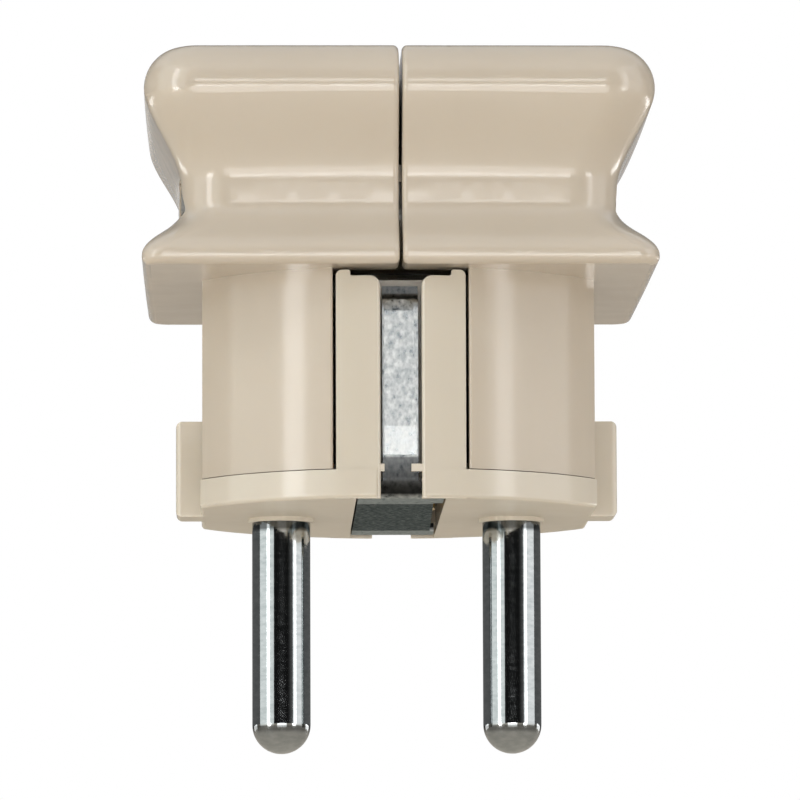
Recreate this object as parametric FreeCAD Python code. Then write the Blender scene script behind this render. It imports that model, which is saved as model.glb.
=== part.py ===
import FreeCAD, Part
import math
import os

from FreeCAD import Vector

# Rewirable type f plug, in millimetres.
# Origin: on the engagement face, midway between the two pins.
# +Z points away from the socket, X runs through both pins, and -Y is the front.

# Pins
pin_spacing = 19.0
pin_diameter = 4.8
pin_length = 19.4
pin_shank_diameter = 4.4
pin_collar_wall = 0.3
pin_collar_height = 0.35

# Round body below the grip
body_diameter = 37.0
body_wall = 1.9
terminal_room = 0.95
flange_height = 2.34
flange_proud = 0.15
flange_edge_radius = 0.35
grip_bottom = 18.6

# Finger grip, a square spool
grip_height = 18.05
grip_half_width = 20.75
rim_corner_radius = 1.5
grip_corner_radius = 4.2
grip_top_radius = 3.3
grip_bottom_radius = 0.7
grip_side_sag = 0.05
waist_inset = 2.8
waist_extra_sag = 0.5
rim_top_above_bottom = 0.9
waist_low_above_bottom = 5.2
waist_high_above_bottom = 6.9
ridge_below_top = 2.7
grip_section_step = 1.0
grip_wall = 2.2
grip_floor = 2.0
grip_cavity_radius = 2.0

# Joint lines
parting_gap = 0.26
parting_edge_radius = 0.45
carrier_gap = 0.08
slide_gap = 0.1
upright_side_gap = 0.24
panel_edge_radius = 0.2
seat_gap = 0.02
weld_overlap = 0.5

# Contact carrier
upright_outer_half = 5.2
upright_depth = 5.4
upright_step_width = 1.15
upright_step_drop = 0.5
upright_top_gap = 0.2
upright_shoulder_radius = 0.45
upright_step_radius = 0.2
slot_width = 3.3
slot_depth = 3.3
slot_edge_radius = 0.35
slot_mouth_radius = 0.9
nib_width = 0.85
small_nib_width = 0.3
nib_bottom = 2.15
nib_height = 0.6
nib_depth = 0.6
carrier_floor = 3.4
face_channel_gap = 0.15
notch_relief_depth = 2.4
ear_room_length = 2.2
ear_room_height = 1.84
guide_rib_width = 4.4
guide_rib_reach = 18.15
guide_rib_top = 7.85
guide_rib_root = 0.6
guide_rib_radius = 0.5
sleeve_wall = 1.7
sleeve_top = 6.0

# Earth stirrup, one folded strip
strip_thickness = 0.7
web_recess = 0.1
web_width = 6.9
pad_length = 4.6
web_notch_near = 0.75
web_notch_far = 0.35
leg_width = 2.85
leg_shift = -0.05
leg_set_back = 1.25
leg_bend_radius = 1.3
leg_jog_bottom = 15.7
leg_jog_top = 16.3
leg_jog_depth = 0.7
leg_top = 17.2
contact_bottom = 3.5
contact_crease = 5.8
contact_shoulder = 15.2
contact_top = 16.05
contact_reach = 0.35
contact_crown = 0.15
contact_taper = 0.28
contact_corner_radius = 0.8
contact_edge_radius = 0.12

# Terminals
terminal_head_diameter = 7.2
terminal_head_top = 11.0
terminal_screw_diameter = 3.5
terminal_screw_head_diameter = 6.0
terminal_screw_head_height = 2.0
terminal_screw_length = 5.0
screw_end_room = 0.3
washer_thickness = 0.9
washer_side = 7.0
washer_corner_radius = 0.8
earth_post_diameter = 6.4
earth_post_top = 10.0

# Cord inlet, cord clamp and bush
cord_diameter = 7.0
bush_wall = 1.2
bush_flange_wall = 0.8
bush_flange_length = 1.2
neck_wall = 1.3
neck_reach = 0.9
clamp_room = 0.8
clamp_head_room = 0.75
clamp_squeeze = 0.25
clamp_width = 4.6
clamp_length = 17.6
clamp_post_x = 6.3
clamp_bar_thickness = 2.2
clamp_edge_radius = 0.5
clamp_seat_above_axis = 2.6
clamp_screw_diameter = 2.6
clamp_screw_head_diameter = 4.4
clamp_screw_head_height = 1.3
clamp_screw_length = 8.0

# Screws that draw the two halves together
housing_screw_diameter = 3.0
housing_screw_head_diameter = 5.2
housing_screw_head_height = 2.0
housing_screw_above_bottom = 4.9
screw_boss_room = 0.45
rear_screw_y = 2.4
screw_boss_wall = 1.35
screw_boss_gap = 0.04
screw_seat_depth = 2.75
screw_cup_wall = 1.1
nut_across_flats = 5.5
nut_height = 2.4
drive_slot_width = 0.8
drive_slot_depth = 0.8

# Values that follow from the sizes above
pin_x = pin_spacing / 2
pin_radius = pin_diameter / 2
body_radius = body_diameter / 2
body_flat_width = pin_spacing + terminal_head_diameter + 2 * (terminal_room + body_wall)
body_room_radius = body_radius - body_wall
grip_top = grip_bottom + grip_height
shell_bottom = flange_height + carrier_gap
ridge_above_bottom = grip_height - ridge_below_top
waist_mid_half = grip_half_width - waist_inset
grip_sections = round(grip_height / grip_section_step)
cavity_half = waist_mid_half - waist_extra_sag - grip_wall
beyond = 2 * grip_half_width + grip_height
cavity_bottom = grip_bottom + grip_floor
cavity_top = grip_top - grip_wall
neck_radius = cord_diameter / 2 + bush_wall + neck_wall
neck_end = grip_half_width + neck_reach
clamp_y = cavity_half - bush_flange_length - clamp_room - clamp_width / 2
housing_screw_z = grip_bottom + housing_screw_above_bottom
screw_boss_radius = housing_screw_diameter / 2 + screw_boss_wall
screw_seat_x = waist_mid_half - screw_seat_depth
front_screw_y = screw_boss_radius + screw_boss_room - cavity_half
screw_cup_radius = nut_across_flats / math.sqrt(3) + slide_gap + screw_cup_wall
slot_floor_y = body_radius - slot_depth
upright_top = grip_bottom - upright_top_gap
upright_inner_y = body_radius - upright_depth
leg_y = body_radius - leg_set_back
web_top = web_recess + strip_thickness
post_half = clamp_width / 2
squeezed_radius = cord_diameter / 2 - clamp_squeeze
clamp_seat_z = cavity_top - clamp_head_room - clamp_screw_head_height - clamp_bar_thickness
cord_axis_z = clamp_seat_z - clamp_seat_above_axis
face_channel_half = web_width / 2 + face_channel_gap
notch_y = leg_y - pad_length


def cylinder(radius, start, end):
    """Round bar from one point to another."""
    along = end - start
    return Part.makeCylinder(radius, along.Length, start, along)


def block(low, high):
    """Upright block between two corners."""
    size = Vector(*high) - Vector(*low)
    return Part.makeBox(size.x, size.y, size.z, Vector(*low))


def rounded_face(corners, to_space):
    """Flat face through corners (u, v, radius); to_space turns (u, v) into a point."""
    starts, middles, ends = [], [], []
    count = len(corners)
    for index, (u, v, radius) in enumerate(corners):
        here = Vector(u, v, 0)
        back = (Vector(*corners[index - 1][:2], 0) - here).normalize()
        ahead = (Vector(*corners[(index + 1) % count][:2], 0) - here).normalize()
        half_angle = back.getAngle(ahead) / 2
        reach = radius / math.tan(half_angle)
        inward = back + ahead
        if radius > 0:
            inward.normalize()
        centre = here + inward * (radius / math.sin(half_angle))
        starts.append(here + back * reach)
        ends.append(here + ahead * reach)
        middles.append(centre - inward * radius)
    edges = []
    for index, (u, v, radius) in enumerate(corners):
        start, middle, end = (to_space(p[index].x, p[index].y) for p in (starts, middles, ends))
        if radius > 0:
            edges.append(Part.Arc(start, middle, end).toShape())
        following = starts[(index + 1) % count]
        following = to_space(following.x, following.y)
        if (following - end).Length > 1e-6:
            edges.append(Part.LineSegment(end, following).toShape())
    return Part.Face(Part.Wire(edges))


def strip_face(path, thickness, to_space):
    """Face of a bent sheet strip: path lists (u, v, middle bend radius) along its mid line."""
    points = [Vector(u, v, 0) for u, v, radius in path]
    sides = {1: [], -1: []}
    for index, point in enumerate(points):
        before = (point - points[index - 1]).normalize() if index else None
        after = (points[index + 1] - point).normalize() if index + 1 < len(points) else None
        heading = before + after if before and after else before or after
        heading = Vector(heading).normalize()
        across = Vector(-heading.y, heading.x, 0)
        stretch, turn = 1.0, 0.0
        if before and after:
            turn = before.cross(after).z
            stretch = 1 / heading.dot(after)
        for side in sides:
            place = point + across * (side * stretch * thickness / 2)
            radius = path[index][2]
            if radius > 0:
                radius -= math.copysign(thickness / 2, side * turn)
            sides[side].append((place.x, place.y, max(radius, 0)))
    return rounded_face(sides[1] + sides[-1][::-1], to_space)


def side_on(x):
    """Placing of (y, z) sketches on the plane at x."""
    return lambda y, z: Vector(x, y, z)


def smooth(share):
    """Raised cosine from 0 to 1."""
    share = min(max(share, 0.0), 1.0)
    return (1 - math.cos(math.pi * share)) / 2


def waist_share(height):
    """How much of the finger waist applies at a height above the grip's underside."""
    rise = (height - rim_top_above_bottom) / (waist_low_above_bottom - rim_top_above_bottom)
    fall = (ridge_above_bottom - height) / (ridge_above_bottom - waist_high_above_bottom)
    return min(smooth(rise), smooth(fall))


def grip_section(height):
    """Plan outline of the grip: four slightly crowned sides joined by tangent corner arcs."""
    waist = waist_share(height)
    middle = grip_half_width - waist_inset * waist
    sag = grip_side_sag + waist_extra_sag * waist
    rounding = smooth(height / waist_low_above_bottom)
    corner = rim_corner_radius + (grip_corner_radius - rim_corner_radius) * rounding
    side_radius = middle * middle / (2 * sag)
    side_centre = middle - side_radius
    reach = side_radius - corner
    corner_centre = (side_centre + math.sqrt(2 * reach * reach - side_centre * side_centre)) / 2
    angle = math.atan2(corner_centre, corner_centre - side_centre)
    tangent = Vector(side_centre + side_radius * math.cos(angle), side_radius * math.sin(angle), 0)
    outermost = corner_centre + corner / math.sqrt(2)
    lift = Vector(0, 0, grip_bottom + height)
    edges = []
    for quarter in range(4):
        turn = FreeCAD.Rotation(Vector(0, 0, 1), 90 * quarter)
        corners = ((tangent.x, -tangent.y), (middle, 0), (tangent.x, tangent.y),
                   (outermost, outermost), (tangent.y, tangent.x))
        low, mid, high, out, following = (turn.multVec(Vector(x, y, 0)) + lift for x, y in corners)
        edges.append(Part.Arc(low, mid, high).toShape())
        edges.append(Part.Arc(high, out, following).toShape())
    return Part.Wire(edges)


def grip_form():
    """Outer form of the finger grip: a loft through its plan outlines, rounded at both ends."""
    outlines = [grip_section(grip_height * step / grip_sections) for step in range(grip_sections + 1)]
    form = Part.makeLoft(outlines, True)
    for level, radius in ((grip_top, grip_top_radius), (grip_bottom, grip_bottom_radius)):
        rim = [edge for edge in form.Edges
               if edge.BoundBox.ZLength < 0.01 and abs(edge.CenterOfMass.z - level) < 0.01]
        form = form.makeFillet(radius, rim)
    return form


def body_form(low, high, margin=0.0):
    """Round body with two flat sides, grown by a margin."""
    round_part = cylinder(body_radius + margin, Vector(0, 0, low), Vector(0, 0, high))
    half = body_flat_width / 2 + margin
    return round_part.common(block((-half, -body_diameter, low), (half, body_diameter, high)))


def cavity_form():
    """Room inside the grip for wires and the cord clamp."""
    corners = [(x, y, grip_cavity_radius) for x, y in (
        (-cavity_half, -cavity_half), (cavity_half, -cavity_half),
        (cavity_half, cavity_half), (-cavity_half, cavity_half))]
    face = rounded_face(corners, lambda x, y: Vector(x, y, cavity_bottom))
    return face.extrude(Vector(0, 0, cavity_top - cavity_bottom))


def body_hollow():
    """Room inside the body walls, open at the bottom and into the grip."""
    inner = cylinder(body_room_radius, Vector(0, 0, shell_bottom), Vector(0, 0, cavity_bottom))
    half = body_flat_width / 2 - body_wall
    return inner.common(block((-half, -body_diameter, 0), (half, body_diameter, grip_top)))


def screw_places():
    """Axes of the two housing screws, as (y, z)."""
    return ((front_screw_y, housing_screw_z), (rear_screw_y, housing_screw_z))


def housing_half(side):
    """One moulded shell; side is -1 for the left half and 1 for the right half."""
    inner_x = parting_gap / 2
    outer = grip_form()
    neck = cylinder(neck_radius, Vector(0, 0, cord_axis_z), Vector(0, neck_end, cord_axis_z))
    outer = outer.fuse(neck)
    outer = outer.common(block((inner_x, -beyond, 0), (beyond, beyond, grip_top)))
    rim = [edge for edge in outer.Edges
           if all(abs(vertex.X - inner_x) < 1e-4 for vertex in edge.Vertexes)
           and abs(edge.CenterOfMass.x - inner_x) < 1e-4]
    outer = outer.makeFillet(parting_edge_radius, rim)
    wall_x = upright_outer_half + upright_side_gap
    wall = body_form(shell_bottom, grip_bottom + grip_floor / 2)
    wall = wall.common(block((wall_x, -beyond, 0), (beyond, beyond, grip_top)))
    wall = wall.makeFillet(panel_edge_radius, [
        edge for edge in wall.Edges
        if abs(edge.BoundBox.XMax - wall_x) < 1e-4 and edge.BoundBox.YLength < 1e-4])
    shell = outer.fuse(wall).removeSplitter()
    room = cavity_form().fuse(body_hollow())
    cord_hole = cylinder(neck_radius - neck_wall, Vector(0, 0, cord_axis_z), Vector(0, beyond, cord_axis_z))
    shell = shell.cut(room).cut(cord_hole)
    for y, z in screw_places():
        boss = cylinder(screw_boss_radius, Vector(screw_boss_gap / 2, y, z), Vector(screw_seat_x, y, z))
        cup = cylinder(screw_cup_radius, Vector(screw_seat_x - screw_cup_wall, y, z),
                       Vector(cavity_half + grip_wall / 2, y, z))
        shell = shell.fuse(boss).fuse(cup)
    for y, z in screw_places():
        shell = shell.cut(cylinder(housing_screw_diameter / 2 + slide_gap,
                                   Vector(0, y, z), Vector(beyond, y, z)))
        if side > 0:
            pocket = cylinder(housing_screw_head_diameter / 2 + slide_gap,
                              Vector(screw_seat_x, y, z), Vector(beyond, y, z))
        else:
            pocket = hexagon(nut_across_flats + 2 * slide_gap, beyond, screw_seat_x, y, z)
        shell = shell.cut(pocket)
    notch_half = guide_rib_width / 2 + slide_gap
    shell = shell.cut(block((0, -notch_half, 0), (beyond, notch_half, guide_rib_top + slide_gap)))
    return shell if side > 0 else mirrored(shell)


def mirrored(shape):
    """The same shape on the other side of the parting plane."""
    return shape.mirror(Vector(0, 0, 0), Vector(1, 0, 0))


def hexagon(across_flats, length, x, y, z):
    """Hexagonal bar along X."""
    corner_radius = across_flats / math.sqrt(3)
    points = [Vector(x, y + corner_radius * math.cos(math.radians(60 * k)),
                     z + corner_radius * math.sin(math.radians(60 * k))) for k in range(7)]
    return Part.Face(Part.makePolygon(points)).extrude(Vector(length, 0, 0))


def contact_carrier():
    """Inner moulding: engagement face, flange, uprights, guide ribs and pin sleeves."""
    flange = body_form(0, flange_height, flange_proud)
    flange = flange.makeFillet(flange_edge_radius, [
        edge for edge in flange.Edges if abs(edge.BoundBox.ZMax) < 1e-6])
    carrier = flange
    core = body_form(0, upright_top)
    for side in (-1, 1):
        reach = Vector(0, side * beyond, 0)
        carrier = carrier.fuse(core.common(upright_face(side * upright_inner_y).extrude(reach)))
    floor = cylinder(upright_inner_y + weld_overlap, Vector(0, 0, 0), Vector(0, 0, carrier_floor))
    carrier = carrier.fuse(floor)
    for x in (-pin_x, pin_x):
        sleeve = cylinder(pin_radius + sleeve_wall, Vector(x, 0, 0), Vector(x, 0, sleeve_top))
        collar = cylinder(pin_radius + pin_collar_wall, Vector(x, 0, -pin_collar_height), Vector(x, 0, 0))
        carrier = carrier.fuse(sleeve).fuse(collar)
    ribs = block((-guide_rib_reach, -guide_rib_width / 2, 0),
                 (guide_rib_reach, guide_rib_width / 2, guide_rib_top))
    ribs = ribs.makeFillet(guide_rib_radius, [
        edge for edge in ribs.Edges if abs(abs(edge.CenterOfMass.x) - guide_rib_reach) < 1e-6])
    rib_inner = body_flat_width / 2 - body_wall - guide_rib_root
    ribs = ribs.cut(block((-rib_inner, -guide_rib_width, carrier_floor),
                          (rib_inner, guide_rib_width, guide_rib_top)))
    carrier = carrier.fuse(ribs)
    carrier = carrier.fuse(clamp_saddle())
    for x in (-pin_x, pin_x):
        carrier = carrier.cut(cylinder(pin_shank_diameter / 2 + seat_gap,
                                       Vector(x, 0, -pin_length), Vector(x, 0, sleeve_top)))
    carrier = carrier.cut(cylinder(earth_post_diameter / 2 + seat_gap,
                                   Vector(0, 0, 0), Vector(0, 0, sleeve_top)))
    channel_y = leg_y + strip_thickness / 2 + slide_gap
    carrier = carrier.cut(block((-face_channel_half, -channel_y, 0),
                                (face_channel_half, channel_y, web_top + seat_gap)))
    carrier = carrier.cut(block((web_width / 2 - web_notch_near, -notch_y, 0),
                                (face_channel_half, notch_y, notch_relief_depth)))
    ear = block((-face_channel_half, channel_y - ear_room_length, 0),
                (face_channel_half, channel_y, ear_room_height))
    for room in (slot_form(), ear):
        carrier = carrier.cut(room).cut(turned(room))
    for nib in slot_nibs():
        carrier = carrier.fuse(nib).fuse(turned(nib))
    return carrier.removeSplitter()


def upright_face(y):
    """Front view of an upright, with raised and rounded shoulders."""
    step_half = upright_outer_half - upright_step_width
    step_z = upright_top - upright_step_drop
    right = [
        (upright_outer_half, 0, 0),
        (upright_outer_half, upright_top, upright_shoulder_radius),
        (step_half, upright_top, upright_step_radius),
        (step_half, step_z, upright_step_radius)]
    left = [(-x, z, radius) for x, z, radius in reversed(right)]
    return rounded_face(right + left, lambda x, z: Vector(x, y, z))


def flared_face(half, start, edge, radius, to_space):
    """Channel from start, whose side walls end in quarter arcs that open outwards at edge."""
    bow = radius * math.sin(math.radians(45))
    right = [to_space(u, v) for u, v in (
        (half, start), (half, edge - radius), (half + radius - bow, edge - radius + bow),
        (half + radius, edge), (half + radius, edge + beyond))]
    left = [to_space(-u, v) for u, v in (
        (half, start), (half, edge - radius), (half + radius - bow, edge - radius + bow),
        (half + radius, edge), (half + radius, edge + beyond))]
    edges = [
        Part.LineSegment(left[0], right[0]),
        Part.LineSegment(right[0], right[1]),
        Part.Arc(right[1], right[2], right[3]),
        Part.LineSegment(right[3], right[4]),
        Part.LineSegment(right[4], left[4]),
        Part.LineSegment(left[4], left[3]),
        Part.Arc(left[3], left[2], left[1]),
        Part.LineSegment(left[1], left[0])]
    return Part.Face(Part.Wire([edge.toShape() for edge in edges]))


def slot_form():
    """Upright slot for the rear earth leg: rounded along its outer edges and at its mouth."""
    half = slot_width / 2
    edge_y = math.sqrt(body_radius ** 2 - half ** 2)
    plan = flared_face(half, slot_floor_y, edge_y, slot_edge_radius, lambda x, y: Vector(x, y, 0))
    mouth = flared_face(half, carrier_floor, upright_top - upright_step_drop, slot_mouth_radius,
                        lambda x, z: Vector(x, slot_floor_y, z))
    return plan.extrude(Vector(0, 0, grip_bottom)).fuse(mouth.extrude(Vector(0, beyond, 0)))


def slot_nibs():
    """Two nibs in front of the rear leg's foot, which keep the strip in its slot."""
    half = slot_width / 2
    front = leg_y + strip_thickness / 2 + slide_gap
    nibs = []
    for side, width in ((1, small_nib_width), (-1, nib_width)):
        inner = side * (half - width)
        outer = side * (half + weld_overlap)
        nibs.append(block((min(inner, outer), front, nib_bottom),
                          (max(inner, outer), front + nib_depth, nib_bottom + nib_height)))
    return nibs


def turned(shape):
    """The same shape turned half way round the plug's axis."""
    copy = shape.copy()
    copy.rotate(Vector(0, 0, 0), Vector(0, 0, 1), 180)
    return copy


def clamp_saddle():
    """Two posts and the saddle between them, which carry the cord and its clamp."""
    half = clamp_length / 2
    saddle = block((-half, clamp_y - post_half, 0), (half, clamp_y + post_half, clamp_seat_z))
    cord = cylinder(squeezed_radius, Vector(0, 0, cord_axis_z), Vector(0, beyond, cord_axis_z))
    above = block((-squeezed_radius, 0, cord_axis_z), (squeezed_radius, beyond, grip_top))
    saddle = saddle.cut(cord).cut(above)
    grip_from = cavity_bottom + slide_gap
    in_body = cylinder(body_room_radius - slide_gap, Vector(0, 0, 0), Vector(0, 0, grip_from))
    in_grip = block((-beyond, -beyond, grip_from), (beyond, beyond, grip_top))
    saddle = saddle.common(in_body.fuse(in_grip))
    for x in (-clamp_post_x, clamp_post_x):
        saddle = saddle.cut(cylinder(clamp_screw_diameter / 2 + seat_gap,
                                     Vector(x, clamp_y, clamp_seat_z - clamp_screw_length),
                                     Vector(x, clamp_y, clamp_seat_z)))
    return saddle


def pin():
    """Solid pin with a round end, a shank in its sleeve and a terminal head."""
    tip = -pin_length
    outline = [
        Part.Arc(Vector(0, 0, tip), Vector(pin_radius * math.sin(math.radians(45)), 0,
                 tip + pin_radius * (1 - math.cos(math.radians(45)))),
                 Vector(pin_radius, 0, tip + pin_radius)).toShape()]
    head_radius = terminal_head_diameter / 2
    shank_radius = pin_shank_diameter / 2
    for start, end in (
            ((pin_radius, tip + pin_radius), (pin_radius, -pin_collar_height)),
            ((pin_radius, -pin_collar_height), (shank_radius, -pin_collar_height)),
            ((shank_radius, -pin_collar_height), (shank_radius, sleeve_top)),
            ((shank_radius, sleeve_top), (head_radius, sleeve_top)),
            ((head_radius, sleeve_top), (head_radius, terminal_head_top)),
            ((head_radius, terminal_head_top), (0, terminal_head_top)),
            ((0, terminal_head_top), (0, tip))):
        outline.append(Part.LineSegment(Vector(start[0], 0, start[1]), Vector(end[0], 0, end[1])).toShape())
    body = Part.Face(Part.Wire(outline)).revolve(Vector(0, 0, 0), Vector(0, 0, 1), 360)
    return body.cut(screw_bore(terminal_head_top))


def screw_bore(top):
    """Hole for a terminal screw, down from a terminal's top."""
    end = top - terminal_screw_length - screw_end_room
    return cylinder(terminal_screw_diameter / 2 + seat_gap, Vector(0, 0, end), Vector(0, 0, top))


def earth_post():
    """Round post that stands on the stirrup's web."""
    post = cylinder(earth_post_diameter / 2, Vector(0, 0, web_top), Vector(0, 0, earth_post_top))
    return post.cut(screw_bore(earth_post_top))


def clamp_washer(seat_z):
    """Square washer that presses the bared wire on its terminal."""
    half = washer_side / 2
    plate = block((-half, -half, seat_z), (half, half, seat_z + washer_thickness))
    plate = plate.makeFillet(washer_corner_radius, [
        edge for edge in plate.Edges if abs(edge.BoundBox.ZLength - washer_thickness) < 1e-6])
    return plate.cut(cylinder(terminal_screw_diameter / 2 + seat_gap,
                              Vector(0, 0, 0), Vector(0, 0, grip_top)))


def slotted_screw(diameter, length, head_diameter, head_height):
    """Cheese head screw with its head's underside at z 0 and its shank down."""
    head = cylinder(head_diameter / 2, Vector(0, 0, 0), Vector(0, 0, head_height))
    head = head.makeFillet(head_height / 4, [
        edge for edge in head.Edges if abs(edge.BoundBox.ZMin - head_height) < 1e-6])
    shank = cylinder(diameter / 2, Vector(0, 0, -length), Vector(0, 0, 0))
    slot = block((-head_diameter, -drive_slot_width / 2, head_height - drive_slot_depth),
                 (head_diameter, drive_slot_width / 2, head_height))
    return head.fuse(shank).cut(slot).removeSplitter()


def terminal_screw(seat_z):
    """Screw of a terminal, its head down on the washer."""
    length = terminal_screw_length + washer_thickness
    screw = slotted_screw(terminal_screw_diameter, length,
                          terminal_screw_head_diameter, terminal_screw_head_height)
    screw.translate(Vector(0, 0, seat_z + washer_thickness))
    return screw


def cord_clamp_bar():
    """Bar over the cord, with an arched underside."""
    half = clamp_length / 2
    bar_top = clamp_seat_z + clamp_bar_thickness
    bar = block((-half, clamp_y - post_half, clamp_seat_z), (half, clamp_y + post_half, bar_top))
    bar = bar.makeFillet(clamp_edge_radius, [
        edge for edge in bar.Edges if abs(edge.BoundBox.ZMin - bar_top) < 1e-6])
    bar = bar.cut(cylinder(squeezed_radius, Vector(0, 0, cord_axis_z), Vector(0, beyond, cord_axis_z)))
    for x in (-clamp_post_x, clamp_post_x):
        bar = bar.cut(cylinder(clamp_screw_diameter / 2 + slide_gap,
                               Vector(x, clamp_y, 0), Vector(x, clamp_y, grip_top)))
    return bar


def cord_clamp_screw(x):
    """Screw that pulls the bar down on its post."""
    screw = slotted_screw(clamp_screw_diameter, clamp_screw_length - screw_end_room + clamp_bar_thickness,
                          clamp_screw_head_diameter, clamp_screw_head_height)
    screw.translate(Vector(x, clamp_y, clamp_seat_z + clamp_bar_thickness))
    return screw


def housing_screw(y):
    """Screw along X from the right half into its nut in the left half."""
    reach = 2 * screw_seat_x + nut_height
    screw = slotted_screw(housing_screw_diameter, reach,
                          housing_screw_head_diameter, housing_screw_head_height)
    screw.rotate(Vector(0, 0, 0), Vector(0, 1, 0), 90)
    screw.translate(Vector(screw_seat_x, y, housing_screw_z))
    return screw


def housing_nut(y):
    """Hexagon nut in its pocket in the left half."""
    nut = hexagon(nut_across_flats, nut_height, -screw_seat_x - nut_height, y, housing_screw_z)
    return nut.cut(cylinder(housing_screw_diameter / 2 + seat_gap, Vector(-beyond, y, housing_screw_z),
                            Vector(0, y, housing_screw_z)))


def cable_bush():
    """Soft bush in the inlet, with a flange behind the wall."""
    outer = cord_diameter / 2 + bush_wall - seat_gap
    wall_inside = cavity_half
    tube = cylinder(outer, Vector(0, wall_inside - bush_flange_length, cord_axis_z),
                    Vector(0, neck_end, cord_axis_z))
    flange = cylinder(outer + bush_flange_wall, Vector(0, wall_inside - bush_flange_length, cord_axis_z),
                      Vector(0, wall_inside - seat_gap, cord_axis_z))
    hole = cylinder(cord_diameter / 2, Vector(0, 0, cord_axis_z), Vector(0, beyond, cord_axis_z))
    return tube.fuse(flange).cut(hole).removeSplitter()


def contact_outline(inset, y):
    """Front view of the raised contact: tapered on one side, round at its top corners."""
    left = leg_shift - leg_width / 2 + contact_edge_radius + inset
    right = leg_shift + leg_width / 2 - contact_edge_radius - inset
    return rounded_face([
        (left, contact_bottom + inset, 0),
        (right, contact_bottom + inset, 0),
        (right - contact_taper, contact_top - inset, contact_corner_radius - inset),
        (left, contact_top - inset, contact_corner_radius - inset)], lambda x, z: Vector(x, y, z))


def contact_form(inset):
    """Raised contact of the front leg, pressed out of the strip; inset gives its hollow back."""
    back = -leg_y + strip_thickness / 2
    face = back - strip_thickness - contact_reach + inset
    profile = rounded_face([
        (back, contact_bottom, 0),
        (face, contact_bottom, 0),
        (face - contact_crown, contact_crease, 0),
        (face, contact_shoulder, contact_corner_radius),
        (back - strip_thickness, contact_top, 0),
        (back, contact_top, 0)], side_on(-beyond)).extrude(Vector(2 * beyond, 0, 0))
    return profile.common(contact_outline(inset, -beyond).extrude(Vector(0, beyond, 0)))


def earth_stirrup():
    """Folded strip: a web across the engagement face and a pressed contact on each leg."""
    middle = web_recess + strip_thickness / 2
    path = [
        (0, middle, 0),
        (-leg_y, middle, leg_bend_radius),
        (-leg_y, leg_jog_bottom, strip_thickness),
        (-leg_y + leg_jog_depth, leg_jog_top, strip_thickness),
        (-leg_y + leg_jog_depth, leg_top, 0),
    ]
    half = leg_width / 2
    leg = strip_face(path, strip_thickness, side_on(leg_shift - half)).extrude(Vector(leg_width, 0, 0))
    wide = strip_face(path, strip_thickness, side_on(-web_width / 2)).extrude(Vector(web_width, 0, 0))
    wide = wide.common(block((-web_width, -beyond, 0),
                             (web_width, 0, web_top + leg_bend_radius - strip_thickness)))
    front = leg.fuse(wide).fuse(contact_form(0)).cut(contact_form(strip_thickness / 2))
    notch = Part.Face(Part.makePolygon([
        Vector(web_width / 2 - web_notch_near, -notch_y, 0),
        Vector(web_width, -notch_y, 0),
        Vector(web_width, notch_y, 0),
        Vector(web_width / 2 - web_notch_far, notch_y, 0),
        Vector(web_width / 2 - web_notch_near, -notch_y, 0)])).extrude(Vector(0, 0, web_top))
    return front.fuse(turned(front)).cut(notch).removeSplitter()


def at(shape, x):
    """A copy of the shape, moved along X."""
    moved = shape.copy()
    moved.translate(Vector(x, 0, 0))
    return moved


def main():
    parts = {
        "left_housing_half": housing_half(-1),
        "right_housing_half": housing_half(1),
        "contact_carrier": contact_carrier(),
        "left_pin": at(pin(), -pin_x),
        "right_pin": at(pin(), pin_x),
        "earth_stirrup": earth_stirrup(),
        "left_terminal_screw": at(terminal_screw(terminal_head_top), -pin_x),
        "right_terminal_screw": at(terminal_screw(terminal_head_top), pin_x),
        "left_clamp_washer": at(clamp_washer(terminal_head_top), -pin_x),
        "right_clamp_washer": at(clamp_washer(terminal_head_top), pin_x),
        "earth_terminal_post": earth_post(),
        "earth_terminal_screw": terminal_screw(earth_post_top),
        "earth_clamp_washer": clamp_washer(earth_post_top),
        "cord_clamp": cord_clamp_bar(),
        "cord_clamp_screw_left": cord_clamp_screw(-clamp_post_x),
        "cord_clamp_screw_right": cord_clamp_screw(clamp_post_x),
        "front_housing_screw": housing_screw(front_screw_y),
        "rear_housing_screw": housing_screw(rear_screw_y),
        "front_housing_nut": housing_nut(front_screw_y),
        "rear_housing_nut": housing_nut(rear_screw_y),
        "cable_bush": cable_bush(),
    }
    os.makedirs("parts", exist_ok=True)
    for name, shape in parts.items():
        print(name, len(shape.Solids), shape.isValid(), round(shape.Volume, 1))
        shape.exportStep("parts/" + name + ".step")


main()
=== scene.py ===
import math

import bpy
from mathutils import Matrix, Vector

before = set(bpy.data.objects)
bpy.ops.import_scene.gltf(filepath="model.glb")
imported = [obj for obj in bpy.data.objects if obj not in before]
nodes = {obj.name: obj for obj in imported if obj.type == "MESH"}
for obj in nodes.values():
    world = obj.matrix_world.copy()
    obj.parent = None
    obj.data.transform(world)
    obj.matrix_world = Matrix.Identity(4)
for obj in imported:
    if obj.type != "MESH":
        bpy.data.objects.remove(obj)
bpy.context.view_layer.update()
scene = bpy.context.scene
MM = 0.001

# Places in mm and angles in degrees
pin_tip = -19.4
pin_radius = 2.4
web_end_start = 11.8
floor_height = -76.5
camera_place = (-12.63, -535.8, -49.23)
camera_yaw, camera_pitch, camera_roll = 1.387, 6.293, -0.197
picture_width_pixels = 800
focal_length_pixels = 6519
sensor_width = 36


# Materials

def new_material(name):
    """A node material with its shader, and the object's own coordinates."""
    material = bpy.data.materials.new(name)
    material.use_nodes = True
    tree = material.node_tree
    shader = tree.nodes["Principled BSDF"]
    place = tree.nodes.new("ShaderNodeTexCoord").outputs["Object"]
    return material, tree, shader, place


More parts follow.
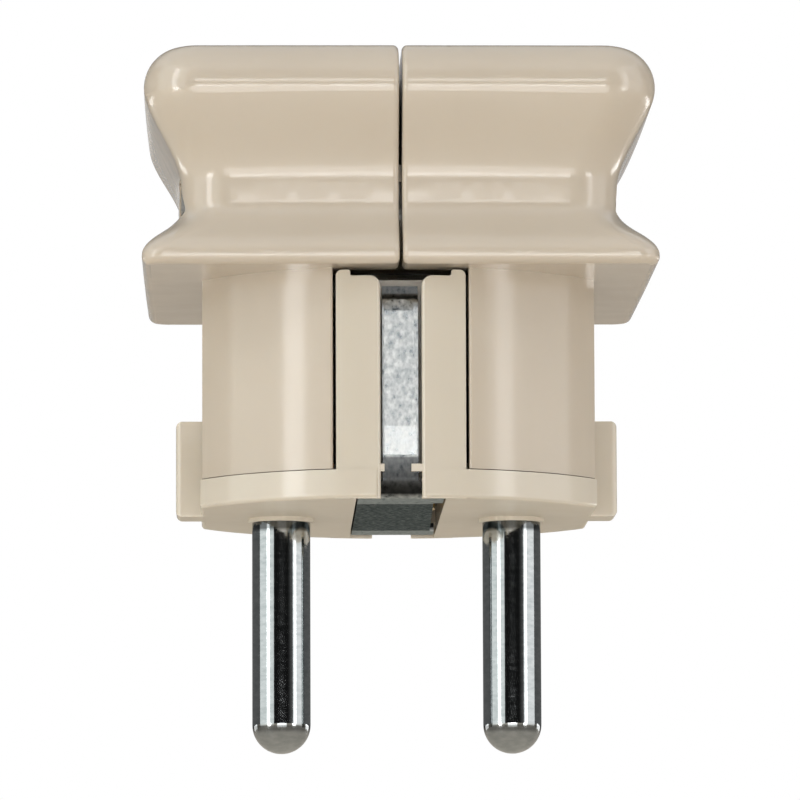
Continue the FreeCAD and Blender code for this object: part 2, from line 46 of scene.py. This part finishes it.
def noise(tree, place, scale, detail=3.0, stretch=(1, 1, 1)):
    """Noise over the object's coordinates; stretch squeezes it along an axis."""
    mapping = tree.nodes.new("ShaderNodeMapping")
    mapping.inputs["Scale"].default_value = stretch
    tree.links.new(place, mapping.inputs["Vector"])
    texture = tree.nodes.new("ShaderNodeTexNoise")
    texture.inputs["Scale"].default_value = scale
    texture.inputs["Detail"].default_value = detail
    tree.links.new(mapping.outputs["Vector"], texture.inputs["Vector"])
    return texture.outputs["Fac"]


def ramp(tree, value, stops):
    """Colour ramp through (position, colour) stops."""
    node = tree.nodes.new("ShaderNodeValToRGB")
    elements = node.color_ramp.elements
    while len(elements) < len(stops):
        elements.new(0.5)
    for element, (position, colour) in zip(elements, stops):
        element.position = position
        element.color = (*colour, 1)
    tree.links.new(value, node.inputs["Fac"])
    return node.outputs["Color"]


def remap(tree, value, from_low, from_high, to_low=0.0, to_high=1.0, smooth=False):
    """A value mapped from one range to another, and held at its ends."""
    node = tree.nodes.new("ShaderNodeMapRange")
    if smooth:
        node.interpolation_type = "SMOOTHSTEP"
    node.inputs["From Min"].default_value = from_low
    node.inputs["From Max"].default_value = from_high
    node.inputs["To Min"].default_value = to_low
    node.inputs["To Max"].default_value = to_high
    tree.links.new(value, node.inputs["Value"])
    return node.outputs["Result"]


def spread(tree, value, low, high):
    """Noise mapped to a range."""
    return remap(tree, value, 0.3, 0.7, low, high, smooth=True)


def calculate(tree, operation, *values):
    """A math node over one to three linked values."""
    node = tree.nodes.new("ShaderNodeMath")
    node.operation = operation
    for socket, value in zip(node.inputs, values):
        tree.links.new(value, socket)
    return node.outputs["Value"]


def axis(tree, place, name):
    """One of the X, Y and Z values of a position or direction."""
    split = tree.nodes.new("ShaderNodeSeparateXYZ")
    tree.links.new(place, split.inputs["Vector"])
    return split.outputs[name]


def mix_colours(tree, factor, first, second, blend="MIX"):
    """Two linked colours, blended by a linked factor or by a number."""
    node = tree.nodes.new("ShaderNodeMix")
    node.data_type = "RGBA"
    node.blend_type = blend
    if isinstance(factor, float):
        node.inputs[0].default_value = factor
    else:
        tree.links.new(factor, node.inputs[0])
    tree.links.new(first, node.inputs[6])
    tree.links.new(second, node.inputs[7])
    return node.outputs[2]


def bump(tree, value, strength, distance):
    node = tree.nodes.new("ShaderNodeBump")
    node.inputs["Strength"].default_value = strength
    node.inputs["Distance"].default_value = distance
    tree.links.new(value, node.inputs["Height"])
    return node.outputs["Normal"]


def plastic(name, dark, light, rough_low, rough_high, wave_distance, dull_face=0.0):
    """Glossy moulded plastic: faint clouding, uneven gloss and slow sink waves; dull on its lowest face."""
    material, tree, shader, place = new_material(name)
    cloud = noise(tree, place, 90)
    tree.links.new(ramp(tree, cloud, [(0.3, dark), (0.7, light)]), shader.inputs["Base Color"])
    gloss = spread(tree, noise(tree, place, 260), rough_low, rough_high)
    if dull_face:
        face = remap(tree, axis(tree, place, "Z"), 0.04 * MM, 0.2 * MM, dull_face, 0)
        gloss = calculate(tree, "ADD", gloss, face)
    tree.links.new(gloss, shader.inputs["Roughness"])
    tree.links.new(bump(tree, noise(tree, place, 130, 2), 0.25, wave_distance), shader.inputs["Normal"])
    shader.inputs["IOR"].default_value = 1.6
    shader.inputs["Subsurface Weight"].default_value = 0.12
    shader.inputs["Subsurface Radius"].default_value = (1.0, 0.7, 0.45)
    shader.inputs["Subsurface Scale"].default_value = 0.0012
    return material


def painted_shade_by_height(tree, place, colour, zones):
    """The colour times a tone of painted shade that changes with height; zones are (height in mm, tone)."""
    low, high = zones[0][0], zones[-1][0]
    height = remap(tree, axis(tree, place, "Z"), low * MM, high * MM)
    tones = ramp(tree, height, [((z - low) / (high - low), (tone, tone, tone)) for z, tone in zones])
    return mix_colours(tree, 1.0, colour, tones, "MULTIPLY")


def web_ends_left_unshaded(tree, place, colour, plain, start):
    """The colour, but mostly plain on the web's two ends near its face, from start mm out from the middle:
    the ends are left out of the painted shade, so the bend there shows bright.
    """
    outward = calculate(tree, "ABSOLUTE", axis(tree, place, "Y"))
    at_ends = remap(tree, outward, start * MM, (start + 0.3) * MM)
    at_face = remap(tree, axis(tree, place, "Z"), 0.2 * MM, 0.5 * MM, 0.75, 0)
    return mix_colours(tree, calculate(tree, "MULTIPLY", at_ends, at_face), colour, plain)


def metal(name, dark, light, rough_low, rough_high, grain, stretch, bump_strength, bump_distance,
          zones=(), unshaded_web_ends=0.0):
    """Bare or plated metal with a drawn or turned grain, darkened by painted shade in some zones of its
    height.
    """
    material, tree, shader, place = new_material(name)
    marks = noise(tree, place, grain, 4, stretch)
    colour = ramp(tree, marks, [(0.3, dark), (0.7, light)])
    # The zones' tones are painted shade, not a duller finish
    if zones:
        plain = colour
        colour = painted_shade_by_height(tree, place, colour, zones)
        # The web's ends near the face are left out of the painted shade
        if unshaded_web_ends:
            colour = web_ends_left_unshaded(tree, place, colour, plain, unshaded_web_ends)
    tree.links.new(colour, shader.inputs["Base Color"])
    tree.links.new(spread(tree, marks, rough_low, rough_high), shader.inputs["Roughness"])
    tree.links.new(bump(tree, marks, bump_strength, bump_distance), shader.inputs["Normal"])
    shader.inputs["Metallic"].default_value = 1.0
    return material


housing = plastic("ivory_housing", (0.54, 0.47, 0.382), (0.564, 0.494, 0.405), 0.12, 0.17, 0.00003)
carrier = plastic("ivory_carrier", (0.61, 0.551, 0.457), (0.634, 0.575, 0.481), 0.11, 0.17, 0.00003, 0.3)
clamp = plastic("ivory_clamp", (0.54, 0.47, 0.38), (0.58, 0.51, 0.42), 0.4, 0.55, 0.00008)
rubber = plastic("ivory_bush", (0.5, 0.43, 0.34), (0.56, 0.49, 0.4), 0.5, 0.7, 0.0001)

# Zones are (height in mm, tone) of painted shade: the pins are painted darker on their round tips, in an
# arc above the tips and in a band at the face, standing in for shade and dark reflections there, and the
# strip is painted darker on its web and the ends of its legs
pin_painted_shade = ((pin_tip, 0.75), (pin_tip + 1.65, 0.55), (pin_tip + 1.9, 0.25), (pin_tip + 2.2, 0.25),
             (pin_tip + pin_radius, 1), (-1.2, 1), (-0.9, 0.25), (0, 0.25))
# The strip's web and the feet and tops of its legs are painted dark: painted shade where they sit deep in
# the carrier's channel and slots
strip_painted_shade = ((0, 0.03), (0.9, 0.05), (2.2, 0.16), (3.3, 0.3), (3.5, 1), (16, 1), (16.2, 0.2), (18, 0.2))
nickel = metal("turned_nickel", (0.45, 0.48, 0.485), (0.59, 0.615, 0.62), 0.05, 0.08, 3000, (0.4, 0.4, 1),
               0.08, 0.00002, pin_painted_shade)
strip = metal("plated_strip", (0.2, 0.22, 0.23), (0.76, 0.78, 0.78), 0.26, 0.5, 2600, (1, 1, 0.7),
              0.4, 0.00004, strip_painted_shade, web_end_start)
strip.node_tree.nodes["Principled BSDF"].inputs["Specular Tint"].default_value = (0.5, 0.58, 0.6, 1)
screw = metal("zinc_screw", (0.3, 0.31, 0.32), (0.42, 0.43, 0.44), 0.3, 0.45, 2500, (1, 1, 1),
              0.3, 0.00003)
brass = metal("plain_brass", (0.6, 0.42, 0.16), (0.78, 0.58, 0.26), 0.2, 0.36, 1200, (1, 1, 1),
              0.3, 0.00003)

finishes = {
    "left_housing_half": housing,
    "right_housing_half": housing,
    "contact_carrier": carrier,
    "left_pin": nickel,
    "right_pin": nickel,
    "earth_stirrup": strip,
    "earth_terminal_post": brass,
    "cord_clamp": clamp,
    "cable_bush": rubber,
}
for name, node in nodes.items():
    finish = finishes.get(name)
    if finish is None:
        finish = brass if name.endswith("washer") else screw
    node.data.materials.clear()
    node.data.materials.append(finish)


# Floor and light

def floor():
    """Wide pale floor well below the plug, seen fading into the white background."""
    bpy.ops.mesh.primitive_plane_add(size=6, location=(0, 0, floor_height * MM))
    plane = bpy.context.object
    plane.name = "floor"
    material, tree, shader, place = new_material("pale_floor")
    cloud = noise(tree, place, 6)
    pale = ramp(tree, cloud, [(0.3, (0.8, 0.73, 0.63)), (0.7, (0.82, 0.75, 0.65))])
    tree.links.new(pale, shader.inputs["Base Color"])
    tree.links.new(spread(tree, noise(tree, place, 20), 0.55, 0.7), shader.inputs["Roughness"])
    tree.links.new(bump(tree, noise(tree, place, 200), 0.1, 0.0002), shader.inputs["Normal"])
    outward = tree.nodes.new("ShaderNodeVectorMath")
    outward.operation = "LENGTH"
    tree.links.new(place, outward.inputs[0])
    fade = remap(tree, outward.outputs["Value"], 0.1, 0.42, smooth=True)
    seen = calculate(tree, "MULTIPLY", tree.nodes.new("ShaderNodeLightPath").outputs["Is Camera Ray"], fade)
    white = tree.nodes.new("ShaderNodeEmission")
    mix = tree.nodes.new("ShaderNodeMixShader")
    tree.links.new(seen, mix.inputs[0])
    tree.links.new(shader.outputs[0], mix.inputs[1])
    tree.links.new(white.outputs[0], mix.inputs[2])
    tree.links.new(mix.outputs[0], tree.nodes["Material Output"].inputs["Surface"])
    plane.data.materials.append(material)


def lamp(name, place, aim, size, power, colour=(1, 1, 1)):
    """Rectangular soft lamp at a place, aimed at a point; power in watts."""
    data = bpy.data.lights.new(name, "AREA")
    data.shape = "RECTANGLE"
    data.size, data.size_y = size
    data.energy = power
    data.color = colour
    lamp_object = bpy.data.objects.new(name, data)
    scene.collection.objects.link(lamp_object)
    lamp_object.location = place
    lamp_object.visible_camera = False
    lamp_object.rotation_euler = (Vector(aim) - Vector(place)).to_track_quat("-Z", "Y").to_euler()
    return lamp_object


def background():
    """White behind the plug, also in its reflections; grey light from all round, darker from the front."""
    world = bpy.data.worlds.new("studio")
    scene.world = world
    world.use_nodes = True
    tree = world.node_tree
    shader = tree.nodes["Background"]
    backward = axis(tree, tree.nodes.new("ShaderNodeTexCoord").outputs["Generated"], "Y")
    room = remap(tree, backward, -0.92, -0.7, 0.01, 0.13, smooth=True)
    behind = remap(tree, backward, 0.975, 0.99, 0, 0.3)
    path = tree.nodes.new("ShaderNodeLightPath")
    seen = path.outputs["Is Camera Ray"]
    for ray in ("Is Glossy Ray", "Is Transmission Ray"):
        seen = calculate(tree, "MULTIPLY_ADD", path.outputs[ray], behind, seen)
    mix = tree.nodes.new("ShaderNodeMix")
    mix.data_type = "RGBA"
    tree.links.new(seen, mix.inputs[0])
    tree.links.new(room, mix.inputs[6])
    mix.inputs[7].default_value = (1, 1, 1, 1)
    tree.links.new(mix.outputs[2], shader.inputs["Color"])
    shader.inputs["Strength"].default_value = 1.0


floor()
background()
middle = (0, 0, 0)
# Boxes and strips light the front's sides, rims the far sides, low strips the pins, and cards draw the
# grip's long highlights
lamp("left_box", (-0.55, -0.29, 0.16), middle, (0.8, 0.8), 2.0, (0.96, 1, 0.98))
lamp("left_strip", (-0.45, -0.33, 0.17), (0, 0, 0.01), (0.12, 0.5), 0.65)
lamp("right_strip", (0.46, -0.32, 0.12), (0, 0, 0.01), (0.1, 0.4), 0.25)
lamp("right_box", (0.59, -0.2, 0.14), middle, (0.62, 0.8), 1.66)
lamp("left_rim", (-0.35, 0.25, -0.045), middle, (0.2, 0.05), 0.08)
lamp("right_rim", (0.35, 0.25, -0.045), middle, (0.2, 0.05), 0.13)
lamp("overhead", (0, 0, 2), middle, (5, 5), 48)
lamp("low_left_strip", (-0.34, -0.285, -0.05), (0, 0, -0.03), (0.1, 0.045), 0.12)
lamp("low_right_strip", (0.34, -0.285, -0.05), (0, 0, -0.03), (0.1, 0.045), 0.08)
lamp("near_card", (0, -0.3, -0.044), (0, 0, -0.044), (0.2, 0.06), 0.1)
lamp("far_card", (0.02, -0.8, -0.045), (0, 0, -0.045), (0.26, 0.06), 0.35)
lamp("upper_card", (0.02, -0.8, 0.17), (0, 0, 0.02), (0.26, 0.09), 0.3)
lamp("back_card", (0, 0.8, 0.19), (0, 0, 0.03), (0.6, 0.13), 0.06)


# Camera

def camera():
    """The photograph's camera: low in front, turned up a little, with a long lens."""
    yaw, pitch, roll = (math.radians(angle) for angle in (camera_yaw, camera_pitch, camera_roll))
    forward = Vector((math.sin(yaw) * math.cos(pitch), math.cos(yaw) * math.cos(pitch), math.sin(pitch)))
    right = Vector((math.cos(yaw), -math.sin(yaw), 0))
    up = right.cross(forward)
    tilted_right = right * math.cos(roll) + up * math.sin(roll)
    tilted_up = up * math.cos(roll) - right * math.sin(roll)
    data = bpy.data.cameras.new("photo_camera")
    data.sensor_width = sensor_width
    data.lens = focal_length_pixels * sensor_width / picture_width_pixels
    data.clip_start = 0.01
    view = bpy.data.objects.new("photo_camera", data)
    scene.collection.objects.link(view)
    turn = Matrix((tilted_right, tilted_up, -forward)).transposed().to_4x4()
    view.matrix_world = Matrix.Translation(Vector(camera_place) * MM) @ turn
    scene.camera = view


camera()
scene.view_settings.view_transform = "Standard"
